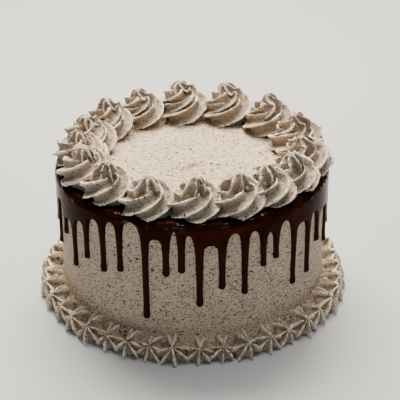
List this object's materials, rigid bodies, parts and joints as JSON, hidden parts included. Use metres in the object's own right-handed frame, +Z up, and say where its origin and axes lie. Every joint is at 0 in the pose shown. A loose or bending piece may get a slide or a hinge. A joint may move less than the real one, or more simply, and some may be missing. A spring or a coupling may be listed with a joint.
{
  "type": "cookies and cream drip cake",
  "caption": "Tall round layer cake with speckled cookie frosting, a dark chocolate drip, piped rosettes round the top and a piped star border at the foot.",
  "frame": {"origin": "centre of the flat base, on the surface the cake stands on", "axes": "+Z up along the cake's axis, -Y towards the side shown in the picture, +X to that viewer's right"},
  "size_m": [0.2396, 0.24, 0.1319],
  "materials": {
    "cookie_frosting": "smooth scraped buttercream, matte, full of fine dark cookie crumbs",
    "piped_frosting": "piped buttercream with crisp ridges, satin, with fine dark cookie crumbs",
    "dark_ganache": "glossy, near black with a red-brown glow where it is thin"
  },
  "bodies": {
    "root": {"cake": "cookie_frosting", "chocolate_drip": "dark_ganache", "rosette_01": "piped_frosting", "rosette_02": "piped_frosting", "rosette_03": "piped_frosting", "rosette_04": "piped_frosting", "rosette_05": "piped_frosting", "rosette_06": "piped_frosting", "rosette_07": "piped_frosting", "rosette_08": "piped_frosting", "rosette_09": "piped_frosting", "rosette_10": "piped_frosting", "rosette_11": "piped_frosting", "rosette_12": "piped_frosting", "rosette_13": "piped_frosting", "rosette_14": "piped_frosting", "rosette_15": "piped_frosting", "rosette_16": "piped_frosting", "star_01": "piped_frosting", "star_02": "piped_frosting", "star_03": "piped_frosting", "star_04": "piped_frosting", "star_05": "piped_frosting", "star_06": "piped_frosting", "star_07": "piped_frosting", "star_08": "piped_frosting", "star_09": "piped_frosting", "star_10": "piped_frosting", "star_11": "piped_frosting", "star_12": "piped_frosting", "star_13": "piped_frosting", "star_14": "piped_frosting", "star_15": "piped_frosting", "star_16": "piped_frosting", "star_17": "piped_frosting", "star_18": "piped_frosting", "star_19": "piped_frosting", "star_20": "piped_frosting", "star_21": "piped_frosting", "star_22": "piped_frosting", "star_23": "piped_frosting", "star_24": "piped_frosting", "star_25": "piped_frosting", "star_26": "piped_frosting", "star_27": "piped_frosting", "star_28": "piped_frosting", "star_29": "piped_frosting", "star_30": "piped_frosting", "star_31": "piped_frosting", "star_32": "piped_frosting", "star_33": "piped_frosting", "star_34": "piped_frosting", "star_35": "piped_frosting", "star_36": "piped_frosting", "star_37": "piped_frosting", "star_38": "piped_frosting", "star_39": "piped_frosting", "star_40": "piped_frosting", "star_41": "piped_frosting"}
  },
  "joints": []
}
